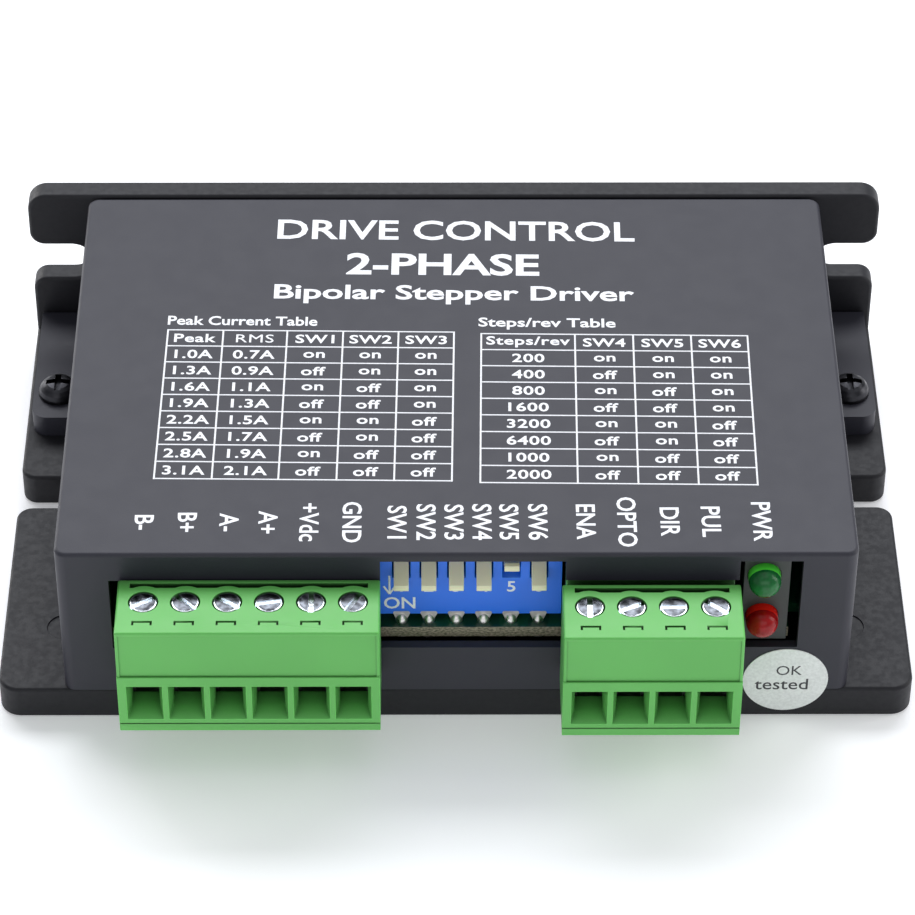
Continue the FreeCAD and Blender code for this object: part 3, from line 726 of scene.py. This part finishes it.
def lampPiece(node, name):
    low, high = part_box(node)
    mesh = grown(trees["turned"], profileMesh(lamps["profile"]), {
        "Corner Radius": lamps["corner"] * mm, "Segments": 48, "Bars": 0, "Count": 1,
        "Flat Height": 1.0}, slotOf[node])
    middle = Vector(((low.x + high.x) / 2, high.y, (low.z + high.z) / 2))
    mesh.transform(Matrix.Translation(middle) @ Matrix.Rotation(math.radians(90), 4, "X"))
    smoothByAngle(mesh, 50)
    shoulder = middle.y - lamps["shoulder"] * mm
    # barrel faces are marked for the lens's painted light
    barrel = [face.center.y > shoulder for face in mesh.polygons]
    mesh.attributes["edgeMask"].data.foreach_set("value", barrel)
    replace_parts(addPiece(name, mesh, "housing", slotOf[node]), node)


lampPiece("led_red", "redLamp")
lampPiece("led_green", "greenLamp")

print("switch pins and solder")

pinShapes = {
    "topWidth": 1.75, "footWidth": 0.85, "thickness": 0.32, "corner": 0.2, "into": 0.35,      # mm
    "frontIn": 0.12, "backIn": 0.55,          # from the switch body's front and back faces
    "poolRadius": 0.56, "poolRise": 0.80,
    "headerInset": 0.4,          # from the end and the back of a header's pins to a pin's middle
    "jointRadius": 0.85, "jointRise": 0.75,
}


def switchPins():
    low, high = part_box("dip_switch_pins")
    bodyLow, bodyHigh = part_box("dip_switch_body")
    boardLow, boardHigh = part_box("circuit_board")
    ways = []
    for number in range(1, 7):
        leverLow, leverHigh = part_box("dip_lever_%d" % number)
        ways.append((leverLow.x + leverHigh.x) / 2 / mm)
    rows = (bodyLow.y / mm + pinShapes["frontIn"], bodyHigh.y / mm - pinShapes["backIn"])
    tall = (high.z - boardHigh.z) / mm + pinShapes["into"]
    middle = boardHigh.z / mm + tall / 2
    half = pinShapes["thickness"] / 2
    mesh = grown(trees["pins"], lineMesh([(x, y + half, middle) for y in rows for x in ways], []), {
        "Top Width": pinShapes["topWidth"] * mm, "Foot Width": pinShapes["footWidth"] * mm,
        "Tab Height": tall * mm, "Thickness": pinShapes["thickness"] * mm,
        "Corner Radius": pinShapes["corner"] * mm, "Pin Length": middle * mm - low.z}, "tinned")
    smoothByAngle(mesh, 30)
    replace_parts(addPiece("switchPins", mesh, "housing", "tinned"), "dip_switch_pins")
    pools = lineMesh([(x, y, boardHigh.z / mm) for y in rows for x in ways], [])
    mesh = grown(trees["solder"], pools, {"Radius": pinShapes["poolRadius"] * mm,
                                          "Rise": pinShapes["poolRise"] * mm, "Seed": 3}, "solder")
    smoothByAngle(mesh, 60)
    addPiece("solderPools", mesh, "housing", "tinned", "solder")
    under = [(x, y, boardLow.z / mm) for y in rows for x in ways]
    for node in ("header_pins_6way", "header_pins_4way"):
        low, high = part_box(node)
        count = 6 if "6" in node else 4
        inset = pinShapes["headerInset"]
        first, last = low.x / mm + inset, high.x / mm - inset
        pitch = (last - first) / (count - 1)
        under += [(first + pitch * n, high.y / mm - inset, boardLow.z / mm) for n in range(count)]
    mesh = grown(trees["solder"], lineMesh(under, []), {
        "Radius": pinShapes["jointRadius"] * mm, "Rise": pinShapes["jointRise"] * mm, "Seed": 5}, "solder")
    smoothByAngle(mesh, 60)
    addPiece("solderJoints", mesh, "housing", "tinned", "solder")


switchPins()

print("printing")

lettering = {
    "thick": 0.012,             # mm
    "weld": 0.0005,             # mm
    "capHeight": 0.73,          # of the font's size
    "tilt": -0.8,               # degrees, of the titles and tables
    # words, centre x and y, capital height, width, weight
    "title": [
        ("DRIVE CONTROL", -0.1, 19.55, 3.1, 35.5, 0.022),
        ("2-PHASE", -1.35, 14.2, 3.3, 19.0, 0.033),
        ("Bipolar Stepper Driver", -0.2, 9.5, 2.2, 35.2, 0.028),
    ],
    "terminals": [
        ("B-", -28.64), ("B+", -24.7), ("A-", -20.85), ("A+", -17.28), ("+Vdc", -13.52), ("GND", -9.58),
        ("SW1", -5.45), ("SW2", -2.79), ("SW3", -0.23), ("SW4", 2.34), ("SW5", 4.82), ("SW6", 7.48),
        ("ENA", 11.88), ("OPTO", 15.64), ("DIR", 19.58), ("PUL", 23.35), ("PWR", 28.02),
    ],
    "terminalY": -23.15,
    "terminalCap": 1.8,
    "terminalWeight": 0.020,
}


def letters(words, x, y, cap, width=None, turn=0.0, weight=0.0, spacing=1.0):
    curve = bpy.data.curves.new("words", "FONT")
    curve.body = words
    curve.size = cap / lettering["capHeight"] * mm
    curve.align_x = "CENTER"
    curve.align_y = "CENTER"
    curve.extrude = lettering["thick"] / 2 * mm
    if "M" not in words:
        curve.offset = weight * cap * mm          # the font's M folds over itself when it is thickened
    curve.resolution_u = 3
    curve.space_character = spacing
    holder = bpy.data.objects.new("words", curve)
    mesh = bpy.data.meshes.new_from_object(holder)
    bpy.data.objects.remove(holder)
    xs = [vertex.co.x for vertex in mesh.vertices]
    ys = [vertex.co.y for vertex in mesh.vertices]
    middle = Vector(((min(xs) + max(xs)) / 2, (min(ys) + max(ys)) / 2, 0))
    stretch = width * mm / (max(xs) - min(xs)) if width else 1.0
    mesh.transform(Matrix.Diagonal((stretch, 1, 1, 1)) @ Matrix.Translation(-middle))
    mesh.transform(Matrix.Translation((x * mm, y * mm, 0)) @ Matrix.Rotation(math.radians(turn), 4, "Z"))
    return mesh


def printed(name, meshes, place, slot, look):
    film = bmesh.new()
    for mesh in meshes:
        film.from_mesh(mesh)
        bpy.data.meshes.remove(mesh)
    bmesh.ops.remove_doubles(film, verts=film.verts, dist=lettering["weld"] * mm)
    bmesh.ops.transform(film, matrix=place, verts=film.verts)
    bmesh.ops.recalc_face_normals(film, faces=film.faces)
    mesh = bpy.data.meshes.new(name)
    film.to_mesh(mesh)
    film.free()
    addPiece(name, mesh, "housing", slot, look)


tables = {
    "cap": 1.25,
    "wide": 1.18,                # how much wider than the plain font
    "spacing": 1.06,
    "below": 0.001,              # mm, the rows' lines lie this much under the columns'
    "weight": 0.026,
    "line": 0.17,
    "rowPitch": 2.378,
    "rows": 9,
    "titleCap": 1.35,
    "left": {
        "title": ("Peak Current Table", -20.65, 5.3, 14.5),
        "top": 3.85,
        "columns": [-27.8, -22.44, -16.26, -10.86, -5.51, -0.15],
        "heads": ["Peak", "RMS", "SW1", "SW2", "SW3"],
        "entries": [("%.1fA" % (1.0 + 0.3 * n), "%.1fA" % (0.7 + 0.2 * n)) for n in range(8)],
    },
    "right": {
        "title": ("Steps/rev Table", 8.85, 5.2, 13.3),
        "top": 3.66,
        "columns": [2.49, 11.53, 17.15, 22.74, 28.2],
        "heads": ["Steps/rev", "SW4", "SW5", "SW6"],
        "entries": [(str(n),) for n in (200, 400, 800, 1600, 3200, 6400, 1000, 2000)],
    },
}


def switchStates(row):
    return ["off" if row >> bit & 1 else "on" for bit in range(3)]


def tableWords(table):
    words = [letters(*table["title"][:3], tables["titleCap"], table["title"][3], weight=tables["weight"])]
    columns = table["columns"]
    for row in range(tables["rows"]):
        cells = table["heads"] if row == 0 else [*table["entries"][row - 1], *switchStates(row - 1)]
        y = table["top"] - (row + 0.5) * tables["rowPitch"]
        for column, cell in enumerate(cells):
            x = (columns[column] + columns[column + 1]) / 2
            mesh = letters(cell, 0, 0, tables["cap"], weight=tables["weight"], spacing=tables["spacing"])
            wider = Matrix.Diagonal((tables["wide"], 1, 1, 1))
            mesh.transform(Matrix.Translation((x * mm, y * mm, 0)) @ wider)
            words.append(mesh)
    return words


def tableRules(table):
    columns = table["columns"]
    top, bottom = table["top"], table["top"] - tables["rows"] * tables["rowPitch"]
    over = tables["line"] / 2
    points = []
    for row in range(tables["rows"] + 1):
        y = top - row * tables["rowPitch"]
        points += [(columns[0] - over, y, -tables["below"]), (columns[-1] + over, y, -tables["below"])]
    for x in columns:
        points += [(x, top + over, 0), (x, bottom - over, 0)]
    links = [(n, n + 1) for n in range(0, len(points), 2)]
    return grown(trees["rules"], lineMesh(points, links), {"Line Width": tables["line"] * mm,
                                                           "Ink Depth": lettering["thick"] * mm}, "white_ink")


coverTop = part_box("cover")[1].z
tilt = Matrix.Rotation(math.radians(lettering["tilt"]), 4, "Z")
block = [letters(words, x, y, cap, width, weight=weight)
         for words, x, y, cap, width, weight in lettering["title"]]
labels = []
for words, x in lettering["terminals"]:
    labels.append(letters(words, x, lettering["terminalY"], lettering["terminalCap"], turn=-90,
                          weight=lettering["terminalWeight"]))
for side in ("left", "right"):
    block += tableWords(tables[side])
for mesh in block:
    mesh.transform(tilt)
printed("coverPrint", block + labels, Matrix.Translation((0, 0, coverTop)), "cover_plastic", "white_ink")
rules = [tableRules(tables[side]) for side in ("left", "right")]
printed("coverRules", rules, Matrix.Translation((0, 0, coverTop)) @ tilt, "cover_plastic", "white_ink")

switchPrint = {
    "word": ("ON", -5.25, 12.36, 1.48, 2.92, 0.02),
    # x, top, tip, half width and height of the head, line width
    "arrow": (-6.19, 15.83, 13.49, 0.53, 1.0, 0.2),
    "digitZ": 14.45, "digitCap": 1.35, "digitWeight": 0.02,
}


def arrowMesh():
    x, top, tip, half, rise, line = switchPrint["arrow"]
    hair = tables["below"]
    points = [(x, top, 0), (x, tip, 0), (x - half, tip + rise, 0), (x, tip, hair), (x + half, tip + rise, 0),
              (x, tip, -hair)]
    return grown(trees["rules"], lineMesh(points, [(0, 1), (2, 3), (4, 5)]),
                 {"Line Width": line * mm, "Ink Depth": lettering["thick"] * mm}, "pale_ink")


def printSwitch():
    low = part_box("dip_switch_body")[0]
    word, x, z, cap, width, weight = switchPrint["word"]
    marks = [letters(word, x, z, cap, width, weight=weight), arrowMesh()]
    for number in range(1, 7):
        leverLow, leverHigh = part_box("dip_lever_%d" % number)
        marks.append(letters(str(number), (leverLow.x + leverHigh.x) / 2 / mm, switchPrint["digitZ"],
                             switchPrint["digitCap"], weight=switchPrint["digitWeight"]))
    place = Matrix.Translation((0, low.y, 0)) @ Matrix.Rotation(math.radians(90), 4, "X")
    printed("switchPrint", marks, place, "switch_blue", "pale_ink")


printSwitch()

sealPrint = {
    "words": [("OK", 0.3, 1.25, 1.26, 2.4, 0.0), ("tested", -0.35, -0.55, 1.45, 5.0, 0.008)],
}


def printSeal():
    low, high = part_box("seal_sticker")
    middle = (low + high) / 2 / mm
    marks = [letters(words, middle.x + x, middle.z + z, cap, width, weight=weight)
             for words, x, z, cap, width, weight in sealPrint["words"]]
    place = Matrix.Translation((0, low.y, 0)) @ Matrix.Rotation(math.radians(90), 4, "X")
    printed("sealPrint", marks, place, "seal", "dark_ink")


printSeal()

print("carried-over parts")

for node, holder in cadNodes.items():
    look = finish[slotOf[node]]
    holder.data.materials.clear()
    holder.data.materials.append(look)
